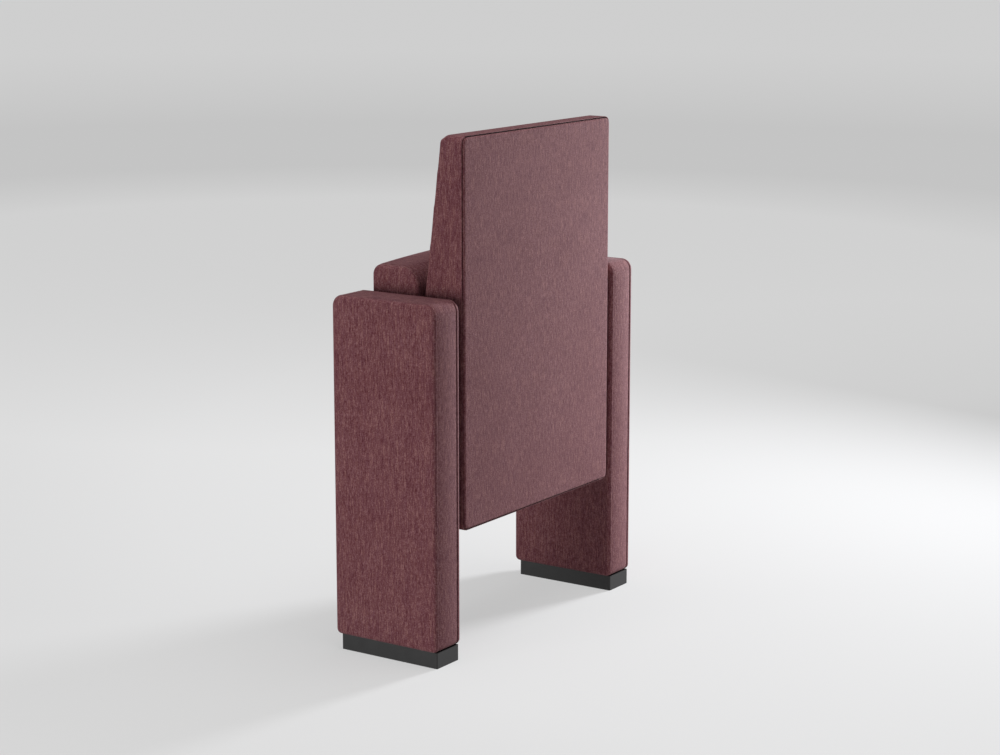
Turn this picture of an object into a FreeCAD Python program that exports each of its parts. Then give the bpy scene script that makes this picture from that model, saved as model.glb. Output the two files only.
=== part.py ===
import FreeCAD, Part
import math
import os
import re
import sys
import Sketcher
from FreeCAD import Placement, Rotation, Vector

# Tip up auditorium seat, millimetres.
# Z is up, the sitter faces -Y, and the origin is on the floor under the middle of the seat.
# The seat is modelled tipped up, as it rests, so its underside faces the front.

doc = FreeCAD.newDocument("TipUpSeat")

# Driving sizes

SIZES = {
    # whole seat
    "overall_width": 655,
    "panel_width": 78,
    "panel_depth": 220,
    "arm_height": 643,
    "fit_gap": 0.05,
    "soft_gap": 0.3,
    "cut_over": 1,
    # plinth and foot
    "plinth_height": 28.5,
    "plinth_side_inset": 6.5,
    "plinth_front_inset": 10,
    "plinth_rear_inset": 1.5,
    "plinth_wall": 3,
    "plinth_radius": 2,
    "foot_thickness": 6,
    "foot_play": 1,
    "foot_radius": 4,
    "floor_hole_radius": 5.5,
    "floor_hole_inset": 24,
    # side panel
    "pad_thickness": 10,
    "pad_edge": 4,
    "pad_end_inset": 4.5,
    "board_thickness": 12,
    "panel_top_radius": 20,
    "panel_bottom_radius": 10,
    "border_thickness": 14,
    "border_edge": 6,
    "border_inner_radius": 6,
    # welded frame inside a side panel
    "post_width": 30,
    "post_wall": 2.5,
    "rear_post_inset": 50,
    "post_top_gap": 16,
    "rail_height": 30,
    "low_rail_z": 60,
    # hinge line of the seat
    "pivot_depth": 27,
    "pivot_z": 345,
    "stub_radius": 10,
    "stub_length": 84.5,
    "stub_chamfer": 1.5,
    "stub_hole_gap": 2,
    "flange_height": 90,
    "flange_thickness": 6,
    "flange_radius": 6,
    "flange_screw_pitch": 66,
    "flange_screw_radius": 4,
    "flange_head_radius": 6.5,
    "flange_head_height": 5,
    "flange_screw_reach": 14,
    # stop plate, its slot and buffers
    "stop_plate_thickness": 5,
    "stop_plate_radius": 42,
    "slot_mid_radius": 30,
    "stud_radius": 4.5,
    "stud_play": 0.8,
    "stud_closed_angle": 60,
    "seat_travel": 88,
    "buffer_length": 7,
    "stud_flange_radius": 7,
    "stud_flange_thickness": 2,
    "stop_screw_ring": 34,
    "stop_screw_outer_angle": 25,
    "stop_screw_inner_angle": 52,
    "stop_screw_radius": 2,
    "stop_head_radius": 4,
    "stop_head_height": 2,
    "stop_screw_reach": 10,
    # hinge arm on the seat
    "arm_thickness": 6,
    "arm_front": 17,
    "arm_back": 28,
    "arm_neck": 14,
    "arm_below": 19,
    "arm_lobe": 58,
    "arm_shoulder": 80,
    "arm_above": 160,
    "arm_corner": 10,
    "arm_screw_low": 85,
    "arm_screw_high": 140,
    "arm_screw_front": 7,
    "arm_screw_radius": 3,
    "arm_head_radius": 6,
    "arm_head_height": 3.5,
    "arm_screw_reach": 10,
    "peg_radius": 5,
    "peg_height": 50,
    # bush, spring, collar and clip on the stub
    "bush_wall": 3,
    "bush_running_gap": 0.05,
    "bush_inner_reach": 4,
    "bush_flange_thickness": 2,
    "bush_flange_radius": 17,
    "spring_mid_radius": 14,
    "spring_wire": 4,
    "spring_pitch": 4.6,
    "spring_turns": 4,
    "spring_short_leg": 13,
    "spring_long_leg": 56,
    "collar_radius": 16.5,
    "collar_thickness": 5,
    "collar_lug_width": 3.5,
    "collar_lug_low": 12,
    "collar_lug_high": 4,
    "clip_thickness": 1.2,
    "clip_depth": 1.2,
    "clip_rim": 3,
    "clip_opening": 50,
    # seat
    "seat_side_gap": 9.5,
    "seat_top": 688,
    "seat_depth": 418,
    "seat_front_inset": 23,
    "seat_back_gap": 12,
    "seat_taper": 19,
    "seat_crown": 7,
    "seat_nose_crown": 8,
    "seat_nose_radius": 36,
    "seat_top_corner": 17,
    "seat_heel_radius": 16,
    "seat_bottom_corner": 8,
    "seat_rim": 14,
    "seat_nose_rim": 18,
    "under_panel_thickness": 10,
    "under_panel_radius": 14,
    "frame_depth": 20,
    "frame_wall": 2.5,
    "frame_rear_z": 404,
    "seat_board_thickness": 10,
    "hinge_bay_width": 42,
    "hinge_bay_below": 27,
    "hinge_bay_above": 60,
    "hinge_bay_depth": 16,
    "under_stud_radius": 4,
    "under_stud_head": 7,
    # back
    "back_side_gap": 9.5,
    "back_top": 922,
    "back_bottom": 229,
    "rear_panel_thickness": 14,
    "rear_panel_radius": 12,
    "rear_panel_edge": 4,
    "rear_panel_inset": 3,
    "back_board_thickness": 15,
    "back_rim": 12,
    "back_board_radius": 8,
    "back_lining": 8,
    "back_top_thickness": 46,
    "back_arm_thickness": 81,
    "back_cushion_bottom": 420,
    "back_crown": 4,
    "back_top_radius": 14,
    "back_knee_radius": 140,
    "back_chin_radius": 24,
    "back_inside_radius": 8,
    "back_corner": 3,
    # back bracket
    "bracket_thickness": 4,
    "bracket_top_drop": 40,
    "bracket_height": 300,
    "bracket_flange_width": 44.5,
    "bracket_edge": 15,
    "bracket_screw_radius": 4,
    "bracket_head_radius": 6.5,
    "bracket_head_height": 3.5,
    "bracket_screw_reach": 9,
    "bracket_screw_inset": 30,
    "back_screw_radius": 3,
    "back_screw_inset": 12,
    "back_head_radius": 6,
    "back_head_height": 4,
    "back_stud_radius": 4,
    "back_stud_depth": 6,
    "back_stud_side": 150,
    "back_stud_inset": 60,
}

sheet = doc.addObject("Spreadsheet::Sheet", "Sheet")
for row, (name, value) in enumerate(SIZES.items(), start=1):
    sheet.set("A%d" % row, name)
    sheet.set("B%d" % row, str(value))
    sheet.setAlias("B%d" % row, name)
doc.recompute()

# Places and fits worked out from the driving sizes

PLACES = {
    "outer_face": "overall_width / 2",
    "inner_face": "outer_face - panel_width",
    "panel_mid": "outer_face - panel_width / 2",
    "panel_rear": "panel_depth / 2",
    "panel_front": "-panel_depth / 2",
    "pad_rear": "panel_rear - pad_end_inset",
    "pad_front": "panel_front + pad_end_inset",
    "seat_front_y": "panel_front + seat_front_inset",
    "pivot_y": "seat_front_y + pivot_depth",
    "rear_post_y": "panel_rear - rear_post_inset",
    "inner_board_low": "inner_face + pad_thickness",
    "post_low": "inner_board_low + board_thickness",
    "outer_board_high": "outer_face - pad_thickness",
    "post_high": "outer_board_high - board_thickness",
    "border_back": "panel_rear - border_thickness",
    "border_front": "panel_front + border_thickness",
    "border_bottom": "plinth_height + border_thickness",
    "border_top": "arm_height - border_thickness",
    "post_top": "border_top - post_top_gap",
    "plinth_low": "inner_face + plinth_side_inset",
    "plinth_high": "outer_face - plinth_side_inset",
    "plinth_front": "panel_front + plinth_front_inset",
    "plinth_rear": "panel_rear - plinth_rear_inset",
    "floor_hole_y": "panel_rear - floor_hole_inset",
    "stub_end": "post_low - stub_length",
    "flange_low": "post_low - flange_thickness",
    "slot_half": "stud_radius + stud_play",
    "slot_inner": "slot_mid_radius - slot_half",
    "slot_outer": "slot_mid_radius + slot_half",
    "buffer_angle": "buffer_length / slot_mid_radius * 180 / pi",
    "stud_angle": "(stud_radius + soft_gap) / slot_mid_radius * 180 / pi",
    "slot_start": "stud_closed_angle - stud_angle - buffer_angle",
    "slot_end": "stud_closed_angle + seat_travel + stud_angle + buffer_angle",
    "stop_plate_low": "inner_face - stop_plate_thickness",
    "seat_side": "inner_face - seat_side_gap",
    "seat_bottom": "seat_top - seat_depth",
    "arm_low": "seat_side - seat_rim",
    "arm_high": "arm_low + arm_thickness",
    "bush_inner": "stub_radius + bush_running_gap",
    "bush_outer": "bush_inner + bush_wall",
    "bush_low": "arm_low - bush_inner_reach",
    "bush_high": "arm_high + bush_flange_thickness",
    "coil_high": "bush_low - soft_gap * 2 - spring_wire",
    "coil_low": "coil_high - spring_turns * spring_pitch",
    "spring_lead": "spring_short_leg * spring_pitch / (2 * pi * spring_mid_radius)",
    "collar_high": "coil_low - spring_wire / 2 - spring_lead - soft_gap",
    "collar_low": "collar_high - collar_thickness",
    "clip_high": "collar_low - soft_gap",
    "clip_low": "clip_high - clip_thickness",
    "stud_end": "inner_face - stud_play",
    "stud_y": "pivot_y + slot_mid_radius * cos(stud_closed_angle)",
    "stud_z": "pivot_z + slot_mid_radius * sin(stud_closed_angle)",
    "coil_outer": "spring_mid_radius + spring_wire / 2",
    "peg_y": "pivot_y + coil_outer + peg_radius + fit_gap",
    "peg_z": "pivot_z + peg_height",
    "arm_screw_y": "pivot_y - arm_screw_front",
    "bay_low": "arm_low - hinge_bay_width",
    "under_panel_back": "seat_front_y + under_panel_thickness",
    "frame_back": "under_panel_back + frame_depth",
    "seat_board_back": "frame_back + seat_board_thickness",
    "core_side": "seat_side - seat_rim",
    "core_bottom": "seat_bottom + seat_rim",
    "core_top": "seat_top - seat_nose_rim",
    "frame_top": "core_top - frame_wall * 2",
    "back_side": "inner_face - back_side_gap",
    "rear_panel_front": "panel_rear - rear_panel_thickness",
    "back_board_front": "rear_panel_front - back_board_thickness",
    "lining_front": "back_board_front - back_lining",
    "back_board_side": "back_side - back_rim",
    "back_screw_x": "back_board_side - back_screw_inset",
    "back_board_bottom": "back_bottom + back_rim",
    "back_board_top": "back_top - back_rim",
    "back_front_top": "panel_rear - back_top_thickness",
    "back_front_arm": "panel_rear - back_arm_thickness",
    "seat_rear_top": "back_front_arm - seat_back_gap",
    "seat_rear_bottom": "seat_rear_top - seat_taper",
    "bracket_low": "inner_face - bracket_thickness",
    "bracket_top": "arm_height - bracket_top_drop",
    "bracket_bottom": "bracket_top - bracket_height",
    "bracket_front": "rear_post_y - bracket_edge",
    "bracket_flange_front": "back_board_front - bracket_thickness",
    "bracket_reach": "inner_face - bracket_flange_width",
    "bracket_mid_z": "bracket_bottom + bracket_height / 2",
    "bracket_low_z": "bracket_bottom + bracket_screw_inset",
    "bracket_high_z": "bracket_top - bracket_screw_inset",
}

rules = doc.addObject("App::FeaturePython", "Rules")
probe = doc.addObject("App::FeaturePython", "Probe")
probe.addProperty("App::PropertyFloat", "value")
KNOWN = {name: "Sheet." for name in SIZES}


def owned(text):
    """The expression with each size written with the object that holds it."""
    return re.sub(r"[a-z_]+", lambda word: KNOWN.get(word.group(), "") + word.group(), str(text))


def size(text):
    """The present value of an expression in the named sizes."""
    probe.setExpression("value", owned(text))
    probe.recompute()
    return probe.value


for name, text in PLACES.items():
    rules.addProperty("App::PropertyFloat", name)
    rules.setExpression(name, owned(text))
    KNOWN[name] = "Rules."
doc.recompute()

# Nodes

nodes = {}


def node(label, item):
    """Names a finished sub-part."""
    item.Label = label
    nodes[label] = item
    return item


def bind(item, path, text):
    item.setExpression(path, owned(text))


# Sketches

PLANES = {"X": "YZ_Plane", "Y": "XZ_Plane", "Z": "XY_Plane"}


def new_body(label):
    body = doc.addObject("PartDesign::Body", label)
    return node(label, body)


def new_sketch(body, axis, level):
    """A sketch across an axis, at a level along it. Its two directions are the other two axes in order."""
    sketch = body.newObject("Sketcher::SketchObject", body.Name + "_outline")
    plane = [f for f in body.Origin.OriginFeatures if f.Role == PLANES[axis]][0]
    sketch.AttachmentSupport = [(plane, "")]
    sketch.MapMode = "FlatFace"
    along = "-(%s)" % level if axis == "Y" else level
    bind(sketch, ".AttachmentOffset.Base.z", along)
    return sketch


def drive(sketch, kind, places, text):
    """A constraint whose value is an expression."""
    value = math.radians(size(text)) if kind == "Angle" else size(text)
    number = sketch.addConstraint(Sketcher.Constraint(kind, *places, value))
    label = "d%d" % number
    sketch.renameConstraint(number, label)
    bind(sketch, "Constraints." + label, text)


def place_point(sketch, geometry, point, u, v):
    drive(sketch, "DistanceX", (-1, 1, geometry, point), u)
    drive(sketch, "DistanceY", (-1, 1, geometry, point), v)


def circle(sketch, u, v, radius):
    middle = Vector(size(u), size(v), 0)
    ring = sketch.addGeometry(Part.Circle(middle, Vector(0, 0, 1), size(radius)))
    place_point(sketch, ring, 3, u, v)
    drive(sketch, "Radius", (ring,), radius)


def outline(sketch, corners):
    """A closed outline through corners (u, v, rounding), anticlockwise. No rounding is a sharp corner."""
    count = len(corners)
    at = [Vector(size(u), size(v), 0) for u, v, _ in corners]
    ends = []
    arcs = []
    for i, (_, _, rounding) in enumerate(corners):
        before = (at[i - 1] - at[i]).normalize()
        after = (at[(i + 1) % count] - at[i]).normalize()
        if not rounding:
            ends.append((at[i], at[i]))
            arcs.append(None)
            continue
        radius = size(rounding)
        half = before.getAngle(after) / 2
        reach = radius / math.tan(half)
        enter = at[i] + before * reach
        leave = at[i] + after * reach
        middle = at[i] + (before + after).normalize() * (radius / math.sin(half))
        left_turn = before.cross(after).z < 0
        first, last = (enter, leave) if left_turn else (leave, enter)
        start = math.atan2(first.y - middle.y, first.x - middle.x)
        stop = math.atan2(last.y - middle.y, last.x - middle.x)
        ring = Part.Circle(middle, Vector(0, 0, 1), radius)
        arcs.append((Part.ArcOfCircle(ring, start, stop), left_turn, rounding))
        ends.append((enter, leave))
    lines = [
        sketch.addGeometry(Part.LineSegment(ends[i][1], ends[(i + 1) % count][0]))
        for i in range(count)
    ]
    for i, (u, v, rounding) in enumerate(corners):
        into, out = lines[i - 1], lines[i]
        if not rounding:
            sketch.addConstraint(Sketcher.Constraint("Coincident", into, 2, out, 1))
            place_point(sketch, out, 1, u, v)
            continue
        arc, left_turn, radius = arcs[i]
        bend = sketch.addGeometry(arc)
        first, last = (1, 2) if left_turn else (2, 1)
        sketch.addConstraint(Sketcher.Constraint("Tangent", into, 2, bend, first))
        sketch.addConstraint(Sketcher.Constraint("Tangent", bend, last, out, 1))
        drive(sketch, "Radius", (bend,), radius)
        corner = sketch.addGeometry(Part.Point(at[i]), True)
        place_point(sketch, corner, 1, u, v)
        sketch.addConstraint(Sketcher.Constraint("PointOnObject", corner, 1, into))
        sketch.addConstraint(Sketcher.Constraint("PointOnObject", corner, 1, out))


def rectangle(sketch, u0, v0, u1, v1, rounding=None):
    outline(sketch, [(u0, v0, rounding), (u1, v0, rounding), (u1, v1, rounding), (u0, v1, rounding)])


def sector(sketch, u, v, inner, outer, start, stop):
    """A curved slot between two radii and two angles in degrees, about a point."""
    middle = Vector(size(u), size(v), 0)
    begin, finish = math.radians(size(start)), math.radians(size(stop))
    arcs = []
    for radius in (inner, outer):
        ring = Part.Circle(middle, Vector(0, 0, 1), size(radius))
        arcs.append(sketch.addGeometry(Part.ArcOfCircle(ring, begin, finish)))
    place_point(sketch, arcs[0], 3, u, v)
    sketch.addConstraint(Sketcher.Constraint("Coincident", arcs[0], 3, arcs[1], 3))
    drive(sketch, "Radius", (arcs[0],), inner)
    drive(sketch, "Radius", (arcs[1],), outer)
    for end, angle, text in ((1, begin, start), (2, finish, stop)):
        ray = Vector(math.cos(angle), math.sin(angle), 0)
        wall = sketch.addGeometry(
            Part.LineSegment(middle + ray * size(inner), middle + ray * size(outer))
        )
        sketch.addConstraint(Sketcher.Constraint("Coincident", wall, 1, arcs[0], end))
        sketch.addConstraint(Sketcher.Constraint("Coincident", wall, 2, arcs[1], end))
        drive(sketch, "Angle", (-1, 1, wall, 1), "(%s) * 1 deg" % text)


# Features

def pad(body, axis, low, high, draw):
    """Material between two levels along an axis. draw fills in the sketch."""
    sketch = new_sketch(body, axis, high if axis == "Y" else low)
    draw(sketch)
    feature = body.newObject("PartDesign::Pad", body.Name + "_pad")
    feature.Profile = sketch
    bind(feature, "Length", "%s - (%s)" % (high, low))
    doc.recompute()
    return feature


def pocket(body, axis, low, high, draw):
    """A cut between two levels along an axis. draw fills in the sketch."""
    sketch = new_sketch(body, axis, low if axis == "Y" else high)
    draw(sketch)
    before = body.Shape.Volume
    feature = body.newObject("PartDesign::Pocket", body.Name + "_pocket")
    feature.Profile = sketch
    bind(feature, "Length", "%s - (%s)" % (high, low))
    doc.recompute()
    if not body.Shape.Volume < before:
        sys.exit("a pocket of %s cuts nothing" % body.Label)
    return feature


def revolve(body, corners, turn="360"):
    """A turned piece: an outline of (x, radius) corners turned about the X axis."""
    sketch = new_sketch(body, "Z", "0")
    outline(sketch, corners)
    feature = body.newObject("PartDesign::Revolution", body.Name + "_turned")
    feature.Profile = sketch
    feature.ReferenceAxis = (sketch, ["H_Axis"])
    bind(feature, "Angle", turn)
    doc.recompute()
    return feature


def round_edges(body, feature, radius, wanted):
    """Rounds the edges of a feature that the test picks."""
    names = [
        "Edge%d" % (number + 1)
        for number, edge in enumerate(feature.Shape.Edges)
        if wanted(edge)
    ]
    fillet = body.newObject("PartDesign::Fillet", body.Name + "_rounding")
    fillet.Base = (feature, names)
    bind(fillet, "Radius", radius)
    doc.recompute()
    return fillet


def lies_at(axis, level):
    """A test that picks the edges lying in a plane across an axis."""
    value = size(level)

    def test(edge):
        return all(abs(getattr(v.Point, axis) - value) < 1e-4 for v in edge.Vertexes) and abs(
            getattr(edge.CenterOfMass, axis) - value
        ) < 1e-4

    return test


def at_pivot(body):
    """Puts a piece that is modelled about its own X axis on the hinge line."""
    bind(body, ".Placement.Base.y", "pivot_y")
    bind(body, ".Placement.Base.z", "pivot_z")


# Turned and fastening pieces made of primitives

ALONG = {"X": Rotation(Vector(0, 1, 0), 90), "Y": Rotation(Vector(1, 0, 0), -90), "Z": Rotation()}


def rod(name, axis, start, stop, middle, radius):
    """A cylinder along an axis between two levels. middle gives its other two coordinates."""
    item = doc.addObject("Part::Cylinder", name)
    item.Placement = Placement(Vector(0, 0, 0), ALONG[axis])
    bind(item, "Radius", radius)
    bind(item, "Height", "%s - (%s)" % (stop, start))
    others = iter(middle)
    for letter in "XYZ":
        level = start if letter == axis else next(others)
        bind(item, ".Placement.Base." + letter.lower(), level)
    return item


def screw(name, axis, tip, seat, head_end, middle, shank, head):
    """A screw with its tip at one level, its head's seat at another and the head's far face at a third."""
    tip_first = size(seat) > size(tip)
    low, high = (tip, seat) if tip_first else (seat, tip)
    under, over = (seat, head_end) if tip_first else (head_end, seat)
    fused = doc.addObject("Part::MultiFuse", name)
    fused.Shapes = [
        rod(name + "_shank", axis, low, high, middle, shank),
        rod(name + "_head", axis, under, over, middle, head),
    ]
    return fused


def group(label, items):
    bundle = doc.addObject("Part::Compound", label)
    bundle.Links = items
    return node(label, bundle)


def mirrored(name, source):
    item = doc.addObject("Part::Mirroring", name)
    item.Source = source
    item.Base = (0, 0, 0)
    item.Normal = (1, 0, 0)
    return item


def both_sides(items):
    return items + [mirrored(item.Name + "_right", item) for item in items]


def both_ways(low, high):
    """A stretch along X, and the same stretch on the other side of the middle."""
    return [(low, high), ("-(%s)" % high, "-(%s)" % low)]


# Side panel, left

PANEL_OUTLINE = [
    ("panel_front", "plinth_height", "panel_bottom_radius"),
    ("panel_rear", "plinth_height", "panel_bottom_radius"),
    ("panel_rear", "arm_height", "panel_top_radius"),
    ("panel_front", "arm_height", "panel_top_radius"),
]
PAD_OUTLINE = [
    ("pad_front", "plinth_height", "panel_bottom_radius"),
    ("pad_rear", "plinth_height", "panel_bottom_radius"),
    ("pad_rear", "arm_height", "panel_top_radius"),
    ("pad_front", "arm_height", "panel_top_radius"),
]

STOP_SCREW_ANGLES = (
    "180 + stop_screw_outer_angle",
    "180 + stop_screw_inner_angle",
    "-stop_screw_inner_angle",
    "-stop_screw_outer_angle",
)
BRACKET_LEVELS = ("bracket_low_z", "bracket_mid_z", "bracket_high_z")
ARM_SCREW_LEVELS = ("pivot_z + arm_screw_low", "pivot_z + arm_screw_high")


def stop_screw_places():
    return [
        ("pivot_y + stop_screw_ring * cos(%s)" % a, "pivot_z + stop_screw_ring * sin(%s)" % a)
        for a in STOP_SCREW_ANGLES
    ]


def make_foot():
    body = new_body("foot_plate_left")
    pad(body, "Z", "0", "foot_thickness", lambda s: rectangle(
        s,
        "plinth_low + plinth_wall + foot_play", "plinth_front + plinth_wall + foot_play",
        "plinth_high - plinth_wall - foot_play", "plinth_rear - plinth_wall - foot_play",
        "foot_radius"))

    def holes(sketch):
        circle(sketch, "panel_mid", "-floor_hole_y", "floor_hole_radius")
        circle(sketch, "panel_mid", "floor_hole_y", "floor_hole_radius")

    pocket(body, "Z", "0", "foot_thickness", holes)


def make_plinth():
    body = new_body("plinth_left")
    pad(body, "Z", "0", "plinth_height", lambda s: rectangle(
        s, "plinth_low", "plinth_front", "plinth_high", "plinth_rear", "plinth_radius"))
    pocket(body, "Z", "0", "plinth_height", lambda s: rectangle(
        s,
        "plinth_low + plinth_wall", "plinth_front + plinth_wall",
        "plinth_high - plinth_wall", "plinth_rear - plinth_wall"))


def make_side_frame():
    """Two upright tubes on the foot plate, joined by two tubes across."""
    body = new_body("side_frame_left")
    middles = ("pivot_y", "rear_post_y")

    def tubes(sketch):
        for y in middles:
            rectangle(sketch, "post_low", y + " - post_width / 2", "post_high", y + " + post_width / 2")
            rectangle(
                sketch,
                "post_low + post_wall", y + " - post_width / 2 + post_wall",
                "post_high - post_wall", y + " + post_width / 2 - post_wall")

    def rails(sketch):
        for low in ("low_rail_z", "post_top - rail_height"):
            rectangle(sketch, "post_low", low, "post_high", low + " + rail_height")
            rectangle(
                sketch,
                "post_low + post_wall", low + " + post_wall",
                "post_high - post_wall", low + " + rail_height - post_wall")

    # the two rails stand apart until the posts join them
    body.AllowCompound = True
    pad(body, "Y", "pivot_y + post_width / 2", "rear_post_y - post_width / 2", rails)
    pad(body, "Z", "foot_thickness", "post_top", tubes)

    def flange_holes(sketch):
        for turn in ("-", "+"):
            level = "pivot_z %s flange_screw_pitch / 2" % turn
            circle(sketch, "pivot_y", level, "flange_screw_radius + fit_gap")
        for z in BRACKET_LEVELS:
            circle(sketch, "rear_post_y", z, "bracket_screw_radius + fit_gap")

    pocket(body, "X", "post_low", "post_low + post_wall", flange_holes)


def board_outline(sketch):
    rectangle(sketch, "border_front", "border_bottom", "border_back", "border_top", "border_inner_radius")


def make_boards():
    outer = new_body("side_outer_board_left")
    pad(outer, "X", "post_high", "outer_board_high", board_outline)
    inner = new_body("side_inner_board_left")
    pad(inner, "X", "inner_board_low", "post_low", board_outline)

    def openings(sketch):
        rectangle(
            sketch,
            "pivot_y - post_width / 2 - soft_gap", "pivot_z - flange_height / 2 - soft_gap",
            "pivot_y + post_width / 2 + soft_gap", "pivot_z + flange_height / 2 + soft_gap",
            "flange_radius")
        for z in BRACKET_LEVELS:
            circle(sketch, "rear_post_y", z, "bracket_screw_radius + soft_gap")

    pocket(inner, "X", "inner_board_low", "post_low", openings)

    def pilots(sketch):
        for y, z in stop_screw_places():
            circle(sketch, y, z, "stop_screw_radius + fit_gap")

    pocket(inner, "X", "inner_board_low", "inner_board_low + stop_screw_reach", pilots)


def make_pads():
    """The padded faces of the panel, set in a little from the band at the front and the rear."""
    outer = new_body("side_outer_pad_left")
    block = pad(outer, "X", "outer_board_high", "outer_face", lambda s: outline(s, PAD_OUTLINE))
    round_edges(outer, block, "pad_edge", lies_at("x", "outer_face"))
    inner = new_body("side_inner_pad_left")
    block = pad(inner, "X", "inner_face", "inner_board_low", lambda s: outline(s, PAD_OUTLINE))
    round_edges(inner, block, "pad_edge", lies_at("x", "inner_face"))

    def holes(sketch):
        circle(sketch, "pivot_y", "pivot_z", "stub_radius + stub_hole_gap")
        for y, z in stop_screw_places():
            circle(sketch, y, z, "stop_screw_radius + soft_gap")
        for z in BRACKET_LEVELS:
            circle(sketch, "rear_post_y", z, "bracket_screw_radius + soft_gap")

    pocket(inner, "X", "inner_face", "inner_board_low", holes)


def make_border():
    """The padded band round the edge of the panel, with a crease beside each pad."""
    body = new_body("side_border_left")
    block = pad(body, "X", "inner_board_low", "outer_board_high", lambda s: outline(s, PANEL_OUTLINE))
    low, high = lies_at("x", "inner_board_low"), lies_at("x", "outer_board_high")
    round_edges(body, block, "border_edge", lambda edge: low(edge) or high(edge))
    pocket(body, "X", "inner_board_low", "outer_board_high", board_outline)

    def post_holes(sketch):
        for y in ("pivot_y", "rear_post_y"):
            rectangle(
                sketch,
                "post_low - soft_gap", y + " - post_width / 2 - soft_gap",
                "post_high + soft_gap", y + " + post_width / 2 + soft_gap")

    pocket(body, "Z", "plinth_height", "border_bottom", post_holes)


# Hinge parts on the panel, left

def make_stub():
    """The fixed axle: a flange on the front post and a turned shaft with a clip groove at its end."""
    body = new_body("pivot_stub_left")
    revolve(body, [
        ("stub_end", "0", None),
        ("flange_low", "0", None),
        ("flange_low", "stub_radius", None),
        ("clip_high", "stub_radius", None),
        ("clip_high", "stub_radius - clip_depth", None),
        ("clip_low", "stub_radius - clip_depth", None),
        ("clip_low", "stub_radius", None),
        ("stub_end + stub_chamfer", "stub_radius", None),
        ("stub_end", "stub_radius - stub_chamfer", None),
    ])
    pad(body, "X", "flange_low", "post_low", lambda s: rectangle(
        s, "-post_width / 2", "-flange_height / 2", "post_width / 2", "flange_height / 2", "flange_radius"))

    def holes(sketch):
        circle(sketch, "0", "-flange_screw_pitch / 2", "flange_screw_radius + fit_gap")
        circle(sketch, "0", "flange_screw_pitch / 2", "flange_screw_radius + fit_gap")

    pocket(body, "X", "flange_low", "post_low", holes)
    at_pivot(body)


def make_stop_plate():
    """The disc in the gap beside the seat, whose curved slot holds the stop stud between two buffers."""
    body = new_body("stop_plate_left")

    def disc(sketch):
        circle(sketch, "pivot_y", "pivot_z", "stop_plate_radius")
        circle(sketch, "pivot_y", "pivot_z", "stub_radius + stub_hole_gap")

    def cuts(sketch):
        sector(sketch, "pivot_y", "pivot_z", "slot_inner", "slot_outer", "slot_start", "slot_end")
        for y, z in stop_screw_places():
            circle(sketch, y, z, "stop_screw_radius + fit_gap")

    pad(body, "X", "stop_plate_low", "inner_face", disc)
    pocket(body, "X", "stop_plate_low", "inner_face", cuts)

    pieces = []
    for name, start, stop in (
        ("closed", "slot_start", "slot_start + buffer_angle"),
        ("open", "slot_end - buffer_angle", "slot_end"),
    ):
        piece = doc.addObject("PartDesign::Body", "buffer_" + name)
        pad(piece, "X", "stop_plate_low", "inner_face", lambda s: sector(
            s, "pivot_y", "pivot_z", "slot_inner", "slot_outer", start, stop))
        pieces.append(piece)
    group("stop_buffers_left", pieces)


def make_collar_and_clip():
    """The collar's lug holds the spring's short leg, and the clip keeps the collar on the stub."""
    body = new_body("spring_collar_left")

    def ring(sketch):
        circle(sketch, "0", "0", "collar_radius")
        circle(sketch, "0", "0", "stub_radius + fit_gap")

    pad(body, "X", "collar_low", "collar_high", ring)
    pad(body, "X", "collar_low", "coil_low + spring_wire / 2", lambda s: rectangle(
        s,
        "coil_outer + fit_gap", "-collar_lug_low",
        "coil_outer + fit_gap + collar_lug_width", "-collar_lug_high"))
    pad(body, "X", "collar_low", "collar_high", lambda s: rectangle(
        s,
        "stub_radius + spring_wire / 2", "-collar_lug_low",
        "coil_outer + fit_gap * 2", "-collar_lug_high"))
    at_pivot(body)

    clip = new_body("stub_clip_left")
    inner = "stub_radius - clip_depth + fit_gap"
    outer = "stub_radius + clip_rim"
    revolve(clip, [
        ("clip_low + fit_gap", inner, None),
        ("clip_high - fit_gap", inner, None),
        ("clip_high - fit_gap", outer, None),
        ("clip_low + fit_gap", outer, None),
    ], "360 - clip_opening")
    at_pivot(clip)


def biarc(start, start_way, stop, stop_way):
    """Two arcs that join two points along two directions."""
    across = stop - start
    ways = start_way + stop_way
    spread = 2 * (1 - start_way.dot(stop_way))
    reach = across.dot(ways)
    arm = (math.sqrt(reach * reach + spread * across.dot(across)) - reach) / spread
    joint = (start + stop + (start_way - stop_way) * arm) * 0.5
    edges = []
    for a, b, peak in ((start, joint, start + start_way * arm), (joint, stop, stop - stop_way * arm)):
        chord_mid = (a + b) * 0.5
        height = peak - chord_mid
        half = math.atan2(height.Length, (b - a).Length / 2)
        crest = chord_mid + height * (math.tan(half / 2) / math.tan(half))
        edges.append(Part.Arc(a, crest, b).toShape())
    return edges


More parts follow.
